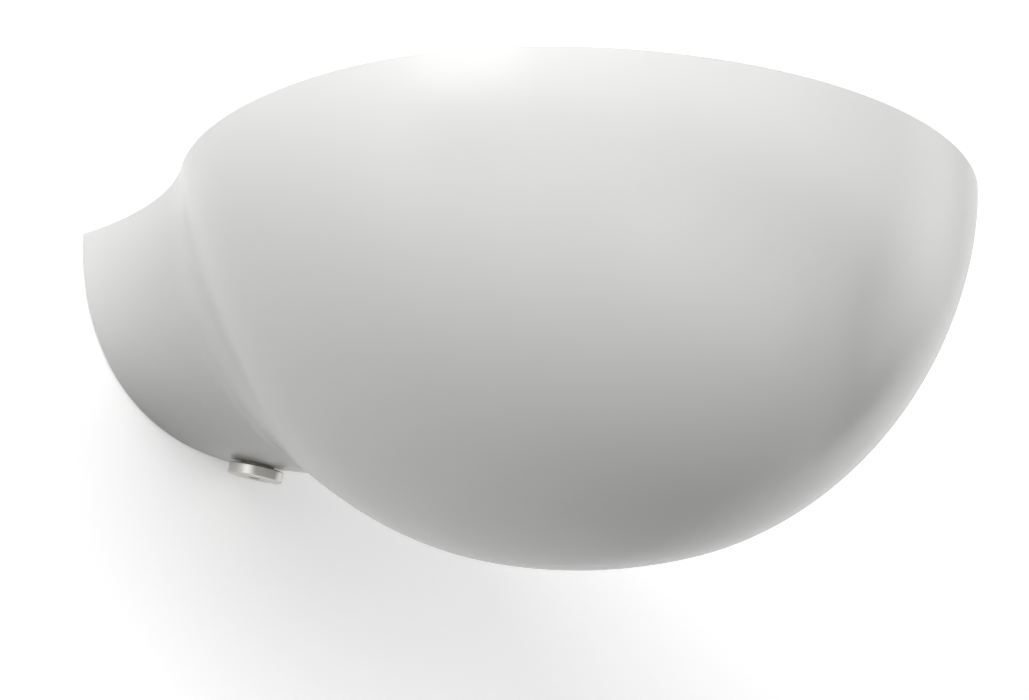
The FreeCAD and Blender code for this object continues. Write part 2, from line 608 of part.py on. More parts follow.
def make_reflector():
    flange = Part.Face(flange_wire(FLANGE_UNDER)).extrude(Z_AXIS * REFLECTOR_SHEET)
    body = flange.fuse(trough(REFLECTOR_SHEET, FLANGE_TOP, FLOOR_UNDER))
    body = body.cut(trough(0, FLANGE_TOP + 1, FLOOR_TOP))
    spade_x, spade_station = SPADE_PLACE
    body = body.fuse(box((spade_x - SPADE[0] / 2, -spade_station - SPADE[1] / 2, FLANGE_UNDER - SPADE[2]),
                         (spade_x + SPADE[0] / 2, -spade_station + SPADE[1] / 2, FLANGE_UNDER)))
    for x, station in post_places():
        body = body.cut(rod(SMALL_SCREW_RADIUS + THROUGH, Vec(x, -station, FLANGE_UNDER - 1), Z_AXIS, 4))
    for x, station, _ in clip_places():
        body = body.cut(rod(SMALL_SCREW_RADIUS + RUNNING, Vec(x, -station, FLANGE_UNDER - 1), Z_AXIS, 4))
    for x, station in holder_screw_places():
        body = body.cut(rod(SMALL_SCREW_RADIUS + THROUGH, Vec(x, -station, FLOOR_UNDER - 1), Z_AXIS, 4))
    for side in (-1, 1):
        body = body.cut(rod(LEAD_RADIUS + 1, Vec(side * LEAD_ENTRY, -TROUGH_STATION, FLOOR_UNDER - 1), Z_AXIS, 4))
    stem = saddle_place()
    return body.cut(rod(SADDLE_STEM + RUNNING, Vec(stem.x, stem.y, FLOOR_UNDER - 1), Z_AXIS, 4)).removeSplitter()


def make_reflector_screws():
    return Part.makeCompound([pan_screw(Vec(x, -station, FLANGE_TOP), -Z_AXIS, SMALL_SCREW_RADIUS,
                                        SMALL_SCREW_LENGTH, SMALL_HEAD_RADIUS, SMALL_HEAD_HEIGHT)
                              for x, station in post_places()])


def make_glass_screen():
    length = TROUGH_TOP[0] + 2 * GLASS_OVERLAP
    width = TROUGH_TOP[1] + 2 * GLASS_OVERLAP
    wire = rounded_rectangle(length, width, TROUGH_CORNER, Vec(0, -TROUGH_STATION, FLANGE_TOP))
    pane = Part.Face(wire).extrude(Z_AXIS * GLASS_THICKNESS)
    rims = [edge for edge in pane.Edges if edge.BoundBox.ZLength < 1e-6]
    return pane.makeChamfer(0.5, rims)


def make_glass_clips():
    clips = []
    for x, station, way in clip_places():
        foot = CLIP_FOOT / 2
        edge = foot - 0.3 - CLIP_SHEET
        tall = GLASS_THICKNESS + 0.05
        profile = [(-foot, 0), (edge + CLIP_SHEET, 0), (edge + CLIP_SHEET, tall),
                   (edge + CLIP_SHEET + CLIP_LIP, tall), (edge + CLIP_SHEET + CLIP_LIP, tall + CLIP_SHEET),
                   (edge, tall + CLIP_SHEET), (edge, CLIP_SHEET), (-foot, CLIP_SHEET)]
        points = [Vec(x - CLIP_WIDTH / 2, -station - way * along, FLANGE_TOP + up) for along, up in profile]
        clip = prism(points, X_AXIS * CLIP_WIDTH)
        clips.append(clip.cut(rod(SMALL_SCREW_RADIUS + THROUGH, Vec(x, -station + way * 1.2, FLANGE_TOP - 1),
                                  Z_AXIS, 4)))
    return Part.makeCompound(clips)


# ---- Lampholders and lamp ----
def lamp_point(x):
    return Vec(x, -TROUGH_STATION, LAMP_HEIGHT)


def mirrored(shape, side):
    return shape if side > 0 else shape.mirror(Vec(0, 0, 0), X_AXIS)


def make_lampholder(side):
    length, width, height = HOLDER
    body = box((HOLDER_FRONT, -TROUGH_STATION - width / 2, FLOOR_TOP),
               (HOLDER_FRONT + length, -TROUGH_STATION + width / 2, FLOOR_TOP + height))
    body = body.makeFillet(2.5, [edge for edge in edges_along(body, X_AXIS) if edge.CenterOfMass.z > FLOOR_TOP + 1])
    mouth = Part.makeCone(HOLDER_MOUTH_RADIUS, CAP_RADIUS + 0.4, HOLDER_MOUTH_DEPTH, lamp_point(HOLDER_FRONT), X_AXIS)
    body = body.cut(mouth)
    body = body.cut(rod(CONTACT_RADIUS + RUNNING, lamp_point(MOUTH_END - 1), X_AXIS, BORE_END - MOUTH_END + 1))
    for x, station in holder_screw_places():
        if x > 0:
            body = body.cut(rod(SMALL_SCREW_RADIUS + RUNNING, Vec(x, -station, FLOOR_TOP - 1), Z_AXIS, 8))
    body = body.cut(rod(LEAD_HOLE, Vec(LEAD_ENTRY, -TROUGH_STATION, FLOOR_TOP - 1), Z_AXIS, LEAD_TOP + 1 - FLOOR_TOP + 1))
    return mirrored(body.removeSplitter(), side)


def make_contact(side):
    nose = rod(CONTACT_NOSE_RADIUS, lamp_point(CONTACT_FACE), X_AXIS, SHOULDER - CONTACT_FACE)
    nose = nose.makeChamfer(0.7, [edge for edge in nose.Edges
                                  if edge.CenterOfMass.isEqual(lamp_point(CONTACT_FACE), 1e-3)])
    return mirrored(nose.fuse(rod(CONTACT_RADIUS, lamp_point(SHOULDER), X_AXIS, CONTACT_LENGTH)).removeSplitter(),
                    side)


def make_contact_spring(side):
    outer = rod(CONTACT_RADIUS - 0.3, lamp_point(CONTACT_BACK), X_AXIS, BORE_END - CONTACT_BACK)
    return mirrored(outer.cut(rod(CONTACT_RADIUS - 1, lamp_point(CONTACT_BACK - 1), X_AXIS, 20)), side)


def make_holder_screws():
    return Part.makeCompound([pan_screw(Vec(x, -station, FLOOR_UNDER), Z_AXIS, SMALL_SCREW_RADIUS,
                                        REFLECTOR_SHEET + 6, SMALL_HEAD_RADIUS, SMALL_HEAD_HEIGHT)
                              for x, station in holder_screw_places()])


def revolved(profile):
    """Solid of revolution about the lamp's axis from (x, radius) points."""
    points = [Vec(x, -TROUGH_STATION, LAMP_HEIGHT + radius) for x, radius in profile]
    face = Part.Face(Part.makePolygon(points + [points[0]]))
    return face.revolve(lamp_point(0), X_AXIS, 360)


def make_lamp_tube():
    half = LAMP_TUBE_LENGTH / 2
    radius = LAMP_TUBE_RADIUS
    outer = revolved([(-half, 0), (-half, 2.6), (3 - half, radius), (half - 3, radius), (half, 2.6), (half, 0)])
    inner_half = half - 2.5
    inner = rod(radius - LAMP_TUBE_WALL, lamp_point(-inner_half + 2), X_AXIS, 2 * inner_half - 4)
    return outer.cut(inner)


def make_lamp_caps():
    caps = []
    for side in (-1, 1):
        cap = rod(CAP_RADIUS, lamp_point(LAMP_TUBE_LENGTH / 2), X_AXIS, LAMP_LENGTH / 2 - LAMP_TUBE_LENGTH / 2)
        cap = cap.makeFillet(0.8, [cap.Edges[0], cap.Edges[2]])
        cap = cap.cut(rod(CAP_BORE, lamp_point(CONTACT_FACE - 1), X_AXIS, LAMP_CONTACT_RECESS + 3))
        caps.append(mirrored(cap, side))
    return Part.makeCompound(caps)


def make_lamp_buttons():
    return Part.makeCompound([mirrored(rod(BUTTON_RADIUS, lamp_point(CONTACT_FACE - 1), X_AXIS, 1), side)
                              for side in (-1, 1)])


def make_filament():
    half = LAMP_TUBE_LENGTH / 2 - 4.5
    return rod(FILAMENT_RADIUS, lamp_point(-half), X_AXIS, 2 * half)


# ---- Leads ----
SADDLE_STEM = 2.0
POLE_X = BLOCK_LEFT + BLOCK_WIDTH - 5.0
LEAD_TOP = FLOOR_TOP + 9.0
CROSSING = FLOOR_TOP - 7.0


def live_points():
    y = -POLE_STATION
    return [Vec(POLE_X, y, pole_heights()[1]), Vec(37, y, pole_heights()[1]), Vec(40, -52, 6),
            Vec(50, -96, -12), Vec(62, -134, CROSSING), Vec(LEAD_ENTRY, -TROUGH_STATION, CROSSING),
            Vec(LEAD_ENTRY, -TROUGH_STATION, LEAD_TOP)]


def neutral_points():
    y = -POLE_STATION
    return [Vec(POLE_X, y, pole_heights()[0]), Vec(37, y, pole_heights()[0]), Vec(36, -50, -6),
            Vec(14, -100, -19), Vec(-18, -144, CROSSING), Vec(-LEAD_ENTRY, -TROUGH_STATION, CROSSING),
            Vec(-LEAD_ENTRY, -TROUGH_STATION, LEAD_TOP)]


def earth_points():
    z = EARTH_STUD[1]
    x, station = SPADE_PLACE
    return [Vec(EARTH_STUD[0] + 8, tag_lead_y(), z), Vec(34, tag_lead_y(), z), Vec(46, -32, -15),
            Vec(x, -station, -10), Vec(x, -station, FLANGE_UNDER - SPADE[2] - 2)]


def lead(name, points):
    """Round lead along straight runs joined by tangent arcs, each as large as its runs allow."""
    edges = []
    place = points[0]
    length = 0.0
    for before, corner, after in zip(points, points[1:], points[2:]):
        back = (before - corner).normalize()
        ahead = (after - corner).normalize()
        turn = math.pi - back.getAngle(ahead)
        trim = 0.45 * min((before - corner).Length, (after - corner).Length)
        radius = trim / math.tan(turn / 2)
        first = corner + back * trim
        last = corner + ahead * trim
        middle = corner + (back + ahead).normalize() * (radius / math.cos(turn / 2) - radius)
        edges.append(Part.makeLine(place, first))
        edges.append(Part.Arc(first, middle, last).toShape())
        length += (first - place).Length + radius * turn
        place = last
        print(f"{name}: turn {math.degrees(turn):.0f} degrees, radius {radius:.1f} mm")
    edges.append(Part.makeLine(place, points[-1]))
    length += (points[-1] - place).Length
    path = Part.Wire(edges)
    start = (points[1] - points[0]).normalize()
    ring = Part.Wire(Part.makeCircle(LEAD_RADIUS, points[0], start))
    tube = path.makePipeShell([ring], True, False)
    expected = math.pi * LEAD_RADIUS ** 2 * length
    print(f"{name}: length {length:.1f} mm, volume {tube.Volume / expected:.4f} of section times length")
    return tube


def saddle_place():
    """Where the neutral lead passes its saddle under the trough."""
    points = neutral_points()
    return points[4] + (points[5] - points[4]) / 2


def make_lead_saddle():
    points = neutral_points()
    along = (points[5] - points[4]).normalize()
    across = Z_AXIS.cross(along)
    place = saddle_place()
    low = place - along * 4 - across * 4 - Z_AXIS * 3
    height = FLOOR_UNDER - low.z
    block = prism([low, low + along * 8, low + along * 8 + across * 8, low + across * 8], Z_AXIS * height)
    block = block.makeFillet(1.5, edges_along(block, Z_AXIS))
    block = block.cut(rod(LEAD_RADIUS + RUNNING, place - along * 10, along, 20))
    stem = rod(SADDLE_STEM, Vec(place.x, place.y, FLOOR_UNDER), Z_AXIS, REFLECTOR_SHEET)
    button = rod(SADDLE_STEM + 1.5, Vec(place.x, place.y, FLOOR_TOP), Z_AXIS, 1.2)
    return block.fuse(stem).fuse(button).removeSplitter()


def make_spade_connector():
    x, station = SPADE_PLACE
    width, thickness, length = SPADE
    top = FLANGE_UNDER - 1
    bottom = FLANGE_UNDER - length - 3
    sleeve = box((x - width / 2 - 0.8, -station - thickness / 2 - 0.8, bottom),
                 (x + width / 2 + 0.8, -station + thickness / 2 + 0.8, top))
    sleeve = sleeve.cut(box((x - width / 2 - RUNNING, -station - thickness / 2 - RUNNING, FLANGE_UNDER - length - 0.1),
                            (x + width / 2 + RUNNING, -station + thickness / 2 + RUNNING, top + 1)))
    barrel = rod(LEAD_RADIUS + 0.7, Vec(x, -station, bottom - 4), Z_AXIS, 5)
    hole = rod(LEAD_RADIUS + RUNNING, Vec(x, -station, bottom - 5), Z_AXIS, 6)
    return sleeve.fuse(barrel).cut(hole).removeSplitter()


def build():
    pieces = {
        "shell": make_shell(),
        "wall_bracket": make_wall_bracket(),
        "cable_bush": make_cable_bush(),
        "terminal_block": make_terminal_block(),
        "terminal_inserts": make_terminal_inserts(),
        "terminal_screws": make_terminal_screws(),
        "terminal_block_screw": make_terminal_block_screw(),
        "earth_tag": make_earth_tag(),
        "earth_washer": make_earth_washer(),
        "earth_screw": make_earth_screw(),
        "locking_screw": make_locking_screw(),
        "screw_washer": make_screw_washer(),
        "clamp_nut": make_clamp_nut(),
        "reflector": make_reflector(),
        "reflector_screws": make_reflector_screws(),
        "glass_screen": make_glass_screen(),
        "glass_clips": make_glass_clips(),
        "lampholder_left": make_lampholder(-1),
        "lampholder_right": make_lampholder(1),
        "holder_screws": make_holder_screws(),
        "contact_left": make_contact(-1),
        "contact_right": make_contact(1),
        "contact_spring_left": make_contact_spring(-1),
        "contact_spring_right": make_contact_spring(1),
        "lamp_tube": make_lamp_tube(),
        "lamp_caps": make_lamp_caps(),
        "lamp_buttons": make_lamp_buttons(),
        "filament": make_filament(),
        "live_lead": lead("live_lead", live_points()),
        "neutral_lead": lead("neutral_lead", neutral_points()),
        "earth_lead": lead("earth_lead", earth_points()),
        "lead_saddle": make_lead_saddle(),
        "spade_connector": make_spade_connector(),
    }
    os.makedirs("parts", exist_ok=True)
    for name, shape in pieces.items():
        shape.exportStep(f"parts/{name}.step")
        print(f"{name}: valid {shape.isValid()}, {len(shape.Solids)} solid(s), {shape.Volume / 1000:.2f} cm3")


build()
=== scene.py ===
import math

import bmesh
import bpy
import numpy as np
from bpy.props import FloatProperty, PointerProperty, StringProperty
from mathutils import Matrix, Vector


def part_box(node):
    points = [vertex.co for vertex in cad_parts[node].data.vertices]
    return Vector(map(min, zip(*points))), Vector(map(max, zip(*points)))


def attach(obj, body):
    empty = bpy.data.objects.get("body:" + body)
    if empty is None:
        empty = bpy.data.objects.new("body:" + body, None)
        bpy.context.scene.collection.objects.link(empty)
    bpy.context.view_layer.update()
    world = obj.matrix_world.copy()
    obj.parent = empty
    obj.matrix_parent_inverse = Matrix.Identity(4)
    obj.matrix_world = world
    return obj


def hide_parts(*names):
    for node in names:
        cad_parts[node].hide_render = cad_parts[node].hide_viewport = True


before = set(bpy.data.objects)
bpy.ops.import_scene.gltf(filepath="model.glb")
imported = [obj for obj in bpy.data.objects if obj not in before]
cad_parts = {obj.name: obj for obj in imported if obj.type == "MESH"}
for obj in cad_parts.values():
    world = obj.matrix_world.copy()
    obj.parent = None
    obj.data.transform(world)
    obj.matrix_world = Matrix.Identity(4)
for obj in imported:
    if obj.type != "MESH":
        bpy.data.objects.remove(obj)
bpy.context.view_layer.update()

bl_info = {
    "name": "Uplighter wall sconce",
    "version": (1, 0, 0),
    "blender": (4, 5, 0),
    "location": "View3D > Sidebar > Sconce",
    "description": "Finishes of a half-flask wall uplighter: enamelled shell, reflector, lamp and fixings",
    "category": "Object",
}

MM = 0.001

# Camera of the photograph: its angles in degrees, and its place along its own axes from the rim's middle at
# the wall, in metres
IMAGE_WIDTH = 1029
FOCAL_PIXELS = 5676.6862
SENSOR_WIDTH = 36
CAMERA_TURN = -49.6968
CAMERA_LIFT = -17.2546
CAMERA_RIGHT = 0.10483
CAMERA_DOWN = 0.02446
CAMERA_BACK = 2.0775


# ---- Sizes and colours ----
def length(name, description, millimetres):
    """Setting that holds a length, given in millimetres."""
    return FloatProperty(name=name, description=description, default=millimetres * MM,
                         unit="LENGTH", precision=5)


class ShellSizes(bpy.types.PropertyGroup):
    """Form of the cast shell, in the same sizes as the construction."""
    rim_height: length("Rim height", "Rim plane above the fixing line", 34.0)
    projection: length("Projection", "Wall to the tip of the bowl", 300.0)
    wall: length("Wall", "Thickness of the casting", 3.0)
    bowl_half_width: length("Bowl half width", "Half width of the rim at its widest", 143.0)
    bowl_depth: length("Bowl depth", "Rim to the deepest point of the keel", 136.5)
    rim_centre: length("Rim centre", "Station of the widest point of the rim", 176.8)
    keel_centre: length("Keel centre", "Station of the deepest point of the keel", 186.4)
    rim_rear: length("Rim rear", "Rear half length of the rim ellipse", 148.5)
    keel_rear: length("Keel rear", "Rear half length of the keel ellipse", 170.4)
    neck_half_width: length("Neck half width", "Half width at the wall", 75.2)
    neck_depth: length("Neck depth", "Depth at the wall", 67.7)
    keel_flare: FloatProperty(
        name="Keel flare", description="Slope of the neck's keel",
        default=math.radians(15.8), subtype="ANGLE")
    rim_blend: length("Rim blend", "Arc between neck and bowl along the rim", 125.4)
    keel_blend: length("Keel blend", "Arc between neck and bowl along the keel", 20.8)
    neck_squareness: FloatProperty(
        name="Neck squareness", description="Section exponent at the wall", default=2.34)
    bowl_squareness: FloatProperty(
        name="Bowl squareness", description="Section exponent of the bowl", default=1.75)
    squareness_reach: length("Squareness reach", "Station where the section has become the bowl's", 83.0)
    edge_radius: length("Edge radius", "Rounding of the cast edges", 0.4)
    screw_station: length("Screw station", "Station of the locking screw", 15.9)
    screw_hole: length("Screw hole", "Radius of the locking screw's hole", 2.75)
    spot_face: length("Spot face", "Radius of the seat for the screw's washer", 6.25)


class FinishColours(bpy.types.PropertyGroup):
    """Colours of the finishes, as sRGB hex values."""
    enamel: StringProperty(name="Enamel", description="Gloss white enamel", default="F3F3F1")
    steel: StringProperty(name="Zinc steel", description="Zinc-plated steel", default="C3C7CA")
    backdrop: StringProperty(name="Wall", description="Backdrop wall", default="F4F4F4")
    floor: StringProperty(name="Floor", description="Studio floor", default="E4E4E2")


class StudioSettings(bpy.types.PropertyGroup):
    """Lamps and camera of the studio."""
    key: FloatProperty(name="Key", description="Power of the upper left lamp in watts", default=30.2)
    left: FloatProperty(name="Left", description="Power of the left lamp in watts", default=14.56)
    front: FloatProperty(name="Front", description="Power of the front lamp in watts", default=2.55)
    right: FloatProperty(name="Right", description="Power of the right lamp in watts", default=3.31)
    low: FloatProperty(name="Low", description="Power of the low front lamp in watts", default=5.73)
    sky_top: FloatProperty(name="Sky top", description="Strength of the even light from above", default=0.0)
    sky_horizon: FloatProperty(name="Sky horizon", description="Strength of the even light from the sides",
                               default=1.48)
    wall_lift: FloatProperty(name="Wall lift", description="Light added where the backdrop is seen",
                             default=0.418)
    lens: FloatProperty(name="Lens", description="Focal length on a 36 mm frame, in millimetres",
                        default=FOCAL_PIXELS / IMAGE_WIDTH * SENSOR_WIDTH)


# ---- Materials ----
def linear(hex_colour):
    """sRGB hex value as a linear colour with alpha."""
    parts = [int(hex_colour[i:i + 2], 16) / 255 for i in (0, 2, 4)]
    return [c / 12.92 if c <= 0.04045 else ((c + 0.055) / 1.055) ** 2.4 for c in parts] + [1.0]


def darker(colour, share):
    """Linear colour at a share of its brightness."""
    return [c * share for c in colour[:3]] + [1.0]


def add_node(tree, kind, settings=(), links=()):
    """Adds a shader node. Settings are attributes or input values, links are (output socket, input name)."""
    node = tree.nodes.new(kind)
    for name, value in dict(settings).items():
        if isinstance(name, str) and hasattr(node, name):
            setattr(node, name, value)
        else:
            node.inputs[name].default_value = value
    for socket, name in links:
        tree.links.new(socket, node.inputs[name])
    return node


def new_material(name):
    """Material with an empty node tree."""
    material = bpy.data.materials.new(name)
    material.use_nodes = True
    material.node_tree.nodes.clear()
    return material, material.node_tree


def finish_shader(tree, shader):
    """Ends a node tree with its output."""
    add_node(tree, "ShaderNodeOutputMaterial", links=[(shader.outputs[0], "Surface")])


def noise(tree, size_mm, detail, stretch=(1, 1, 1)):
    """Noise over the piece with grains of a real size, stretched along an axis by a share under 1."""
    points = add_node(tree, "ShaderNodeTexCoord").outputs["Object"]
    mapped = add_node(tree, "ShaderNodeMapping", {"Scale": stretch}, [(points, "Vector")])
    texture = add_node(tree, "ShaderNodeTexNoise", {"Scale": 1 / (size_mm * MM), "Detail": detail},
                       [(mapped.outputs[0], "Vector")])
    return texture.outputs["Fac"]


def relief(tree, height, depth_mm):
    """Bump whose height is a real depth in millimetres."""
    return add_node(tree, "ShaderNodeBump", {"Distance": depth_mm * MM}, [(height, "Height")]).outputs[0]


def blend_colours(tree, factor, first, second):
    """Colour between two colours, by a factor socket."""
    mix = add_node(tree, "ShaderNodeMix", {"data_type": "RGBA", 6: first, 7: second}, [(factor, 0)])
    return mix.outputs[2]


def gloss_enamel(colour):
    # Sprayed and stoved enamel on a casting: white body under a smooth glossy skin, with faint flow waves
    material, tree = new_material("stoved_white_enamel")
    both = add_node(tree, "ShaderNodeMath", {"operation": "MULTIPLY_ADD", 1: 0.25},
                    [(noise(tree, 1.6, 2.0), 0), (noise(tree, 9.0, 1.0), 2)])
    shader = add_node(tree, "ShaderNodeBsdfPrincipled",
                      {"Base Color": linear(colour), "Roughness": 0.24, "IOR": 1.5},
                      [(relief(tree, both.outputs[0], 0.01), "Normal")])
    finish_shader(tree, shader)
    return material


def metal(name, colour, roughness, grain_mm, stretch=(1, 1, 1), depth_mm=0.004, spread=0.08):
    """Metal whose tone, roughness and relief vary with its grain."""
    material, tree = new_material(name)
    grain = noise(tree, grain_mm, 3.0, stretch)
    rough = add_node(tree, "ShaderNodeMapRange",
                     {"To Min": roughness - spread, "To Max": roughness + spread}, [(grain, "Value")])
    tone = linear(colour)
    shader = add_node(tree, "ShaderNodeBsdfPrincipled", {"Metallic": 1.0},
                      [(blend_colours(tree, grain, darker(tone, 0.86), tone), "Base Color"),
                       (rough.outputs[0], "Roughness"), (relief(tree, grain, depth_mm), "Normal")])
    finish_shader(tree, shader)
    return material


def solid_colour(name, colour, roughness, ior, grain_mm, depth_mm, variation=0.06, sheen=0.0):
    """Plastic, ceramic or rubber: one body colour with a slight change of tone and a fine surface."""
    material, tree = new_material(name)
    grain = noise(tree, grain_mm, 4.0)
    tone = linear(colour)
    shader = add_node(tree, "ShaderNodeBsdfPrincipled",
                      {"Roughness": roughness, "IOR": ior, "Sheen Weight": sheen},
                      [(blend_colours(tree, grain, darker(tone, 1 - variation), tone), "Base Color"),
                       (relief(tree, grain, depth_mm), "Normal")])
    finish_shader(tree, shader)
    return material


def striped_sleeve(name, colour, stripe, width_mm):
    """Sleeve of two colours, in stripes that run along a lead that leaves the wall."""
    material, tree = new_material(name)
    points = add_node(tree, "ShaderNodeTexCoord").outputs["Object"]
    bands = add_node(tree, "ShaderNodeTexWave", {"Scale": math.pi / 10 / (width_mm * MM)},
                     [(points, "Vector")])
    edge = add_node(tree, "ShaderNodeMapRange", {"From Min": 0.45, "From Max": 0.55},
                    [(bands.outputs["Fac"], "Value")])
    shader = add_node(tree, "ShaderNodeBsdfPrincipled",
                      {"Roughness": 0.55, "IOR": 1.43, "Sheen Weight": 0.2},
                      [(blend_colours(tree, edge.outputs[0], linear(colour), linear(stripe)), "Base Color")])
    finish_shader(tree, shader)
    return material


def clear_glass(name, colour, roughness, ior):
    """Clear glass: the body lets light through and the skin reflects."""
    material, tree = new_material(name)
    shader = add_node(tree, "ShaderNodeBsdfPrincipled",
                      {"Base Color": linear(colour), "Roughness": roughness, "IOR": ior,
                       "Transmission Weight": 1.0})
    finish_shader(tree, shader)
    return material


def stage_paint(name, colour, bounce, lift):
    """Matt paint that is not there from behind. The camera and reflections see it lifted towards white;
    the light that it throws on the object is only its bounce share."""
    material, tree = new_material(name)
    rays = add_node(tree, "ShaderNodeLightPath")
    direct = add_node(tree, "ShaderNodeMath", {"operation": "MAXIMUM"},
                      [(rays.outputs["Is Camera Ray"], 0), (rays.outputs["Is Glossy Ray"], 1)])
    seen = add_node(tree, "ShaderNodeMath", {"operation": "MAXIMUM"},
                    [(direct.outputs[0], 0), (rays.outputs["Is Transmission Ray"], 1)]).outputs[0]
    tone = linear(colour)
    paint = add_node(tree, "ShaderNodeBsdfDiffuse",
                     links=[(blend_colours(tree, seen, darker(tone, bounce), tone), "Color")])
    level = add_node(tree, "ShaderNodeMath", {"operation": "MULTIPLY", 1: lift}, [(seen, 0)])
    glow = add_node(tree, "ShaderNodeEmission", links=[(level.outputs[0], "Strength")])
    front = add_node(tree, "ShaderNodeAddShader", links=[(paint.outputs[0], 0), (glow.outputs[0], 1)])
    clear = add_node(tree, "ShaderNodeBsdfTransparent")
    behind = add_node(tree, "ShaderNodeNewGeometry").outputs["Backfacing"]
    finish_shader(tree, add_node(tree, "ShaderNodeMixShader",
                                 links=[(behind, 0), (front.outputs[0], 1), (clear.outputs[0], 2)]))
    return material


# ---- Mesh helpers ----
def mesh_object(name, builder, material=None):
    """Object from a bmesh with its faces turned outwards."""
    mesh = bpy.data.meshes.new(name)
    bmesh.ops.recalc_face_normals(builder, faces=builder.faces[:])
    builder.to_mesh(mesh)
    builder.free()
    piece = bpy.data.objects.new(name, mesh)
    bpy.context.scene.collection.objects.link(piece)
    if material:
        mesh.materials.append(material)
    return piece


def new_piece(name, builder, material, body, node):
    """Smooth object on a body that stands for a construction node."""
    piece = mesh_object(name, builder, material)
    piece.data.polygons.foreach_set("use_smooth", [True] * len(piece.data.polygons))
    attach(piece, body)
    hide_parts(node)
    return piece


def axis_place(start, direction):
    """Placement that puts the origin at start and turns +Z to a direction."""
    turn = Vector((0, 0, 1)).rotation_difference(Vector(direction)).to_matrix().to_4x4()
    return Matrix.Translation(Vector(start)) @ turn


def circle_angles(sides):
    """Angles of the corners of a regular polygon."""
    return [2 * math.pi * i / sides for i in range(sides)]


def lathe(builder, profile, place, sides=64):
    """Closed solid of revolution. The profile's points are (radius, height) and its ends are joined."""
    rings = []
    for radius, height in profile:
        if radius < 1e-7:
            rings.append([builder.verts.new(place @ Vector((0, 0, height)))] * sides)
            continue
        rings.append([builder.verts.new(place @ Vector((radius * math.cos(a), radius * math.sin(a), height)))
                      for a in circle_angles(sides)])
    for near, far in zip(rings, rings[1:] + rings[:1]):
        for i in range(sides):
            j = (i + 1) % sides
            corners = list(dict.fromkeys((near[i], near[j], far[j], far[i])))
            if len(corners) > 2:
                builder.faces.new(corners)


def add_coil(builder, radius, wire, place, reach, turns, steps=10, sides=5):
    """Coil of round wire along the placement's Z axis."""
    rings = []
    count = turns * steps
    for i in range(count + 1):
        angle = 2 * math.pi * i / steps
        out = Vector((math.cos(angle), math.sin(angle), 0))
        centre = out * radius + Vector((0, 0, reach * i / count))
        ring = [centre + (out * math.cos(a) + Vector((0, 0, math.sin(a)))) * wire
                for a in circle_angles(sides)]
        rings.append([builder.verts.new(place @ point) for point in ring])
    for near, far in zip(rings, rings[1:]):
        for j in range(sides):
            k = (j + 1) % sides
            builder.faces.new((near[j], near[k], far[k], far[j]))
    builder.faces.new(rings[0])
    builder.faces.new(rings[-1])


def cut_round(piece, place, radius, depth):
    """Takes a round hole out of a piece."""
    builder = bmesh.new()
    lathe(builder, [(0, 0), (radius, 0), (radius, depth), (0, depth)], place, 96)
    cutter = mesh_object("cutter", builder)
    cut = piece.modifiers.new("cut", "BOOLEAN")
    cut.object = cutter
    cut.operation = "DIFFERENCE"
    cut.solver = "EXACT"
    bpy.context.view_layer.update()
    graph = bpy.context.evaluated_depsgraph_get()
    result = bpy.data.meshes.new_from_object(piece.evaluated_get(graph))
    piece.modifiers.remove(cut)
    piece.data = result
    bpy.data.objects.remove(cutter)


# ---- Shell form ----
# Rows of the skin's grid along the neck, the crease and the bowl's rear and front, and columns across
NECK_ROWS = 20
CREASE_ROWS = 14
REAR_ROWS = 48
FRONT_ROWS = 64
SKIN_COLUMNS = 112


def outline(sizes, start, flare, blend, centre, rear, half, inset):
    """Half outline seen from above or from the side: line, arc, rear and front ellipse.
    Returns the distance from the middle by station, and the two ends of the arc."""
    slope = math.tan(flare)
    start = start - inset / math.cos(flare)
    radius = blend + inset
    rear_axis, half_axis = rear - inset, half - inset
    normal = Vector((-slope, 1)).normalized()

    def on_ellipse(angle):
        point = Vector((centre - rear_axis * math.cos(angle), half_axis * math.sin(angle)))
        outward = Vector((-half_axis * math.cos(angle), rear_axis * math.sin(angle))).normalized()
        return point, point + outward * radius

    low, high = 0.02, math.pi / 2
    for _ in range(60):
        middle = (low + high) / 2
        if (on_ellipse(middle)[1] - Vector((0, start))).dot(normal) < radius:
            low = middle
        else:
            high = middle
    touch, arc = on_ellipse(low)
    foot = arc - normal * radius

    def distance(station):
        if station < foot.x:
            return start + slope * station
        if station < touch.x:
            return arc.y - math.sqrt(radius ** 2 - (station - arc.x) ** 2)
        axis = rear_axis if station < centre else sizes.projection - inset - centre
        return half_axis * math.sqrt(max(0.0, 1 - ((station - centre) / axis) ** 2))

    return distance, max(foot.x, 0.0), touch.x


def outlines(sizes, inset):
    """Half width and depth of the skin, moved inwards by inset, with the ends of the keel's arc."""
    width = outline(sizes, sizes.neck_half_width, 0.0, sizes.rim_blend,
                    sizes.rim_centre, sizes.rim_rear, sizes.bowl_half_width, inset)[0]
    depth, foot, touch = outline(sizes, sizes.neck_depth, sizes.keel_flare, sizes.keel_blend,
                                 sizes.keel_centre, sizes.keel_rear, sizes.bowl_depth, inset)
    return width, depth, foot, touch


def squareness(sizes, station):
    """Exponent of the section at a station."""
    share = max(0.0, 1 - station / sizes.squareness_reach) ** 2
    return sizes.bowl_squareness + (sizes.neck_squareness - sizes.bowl_squareness) * share


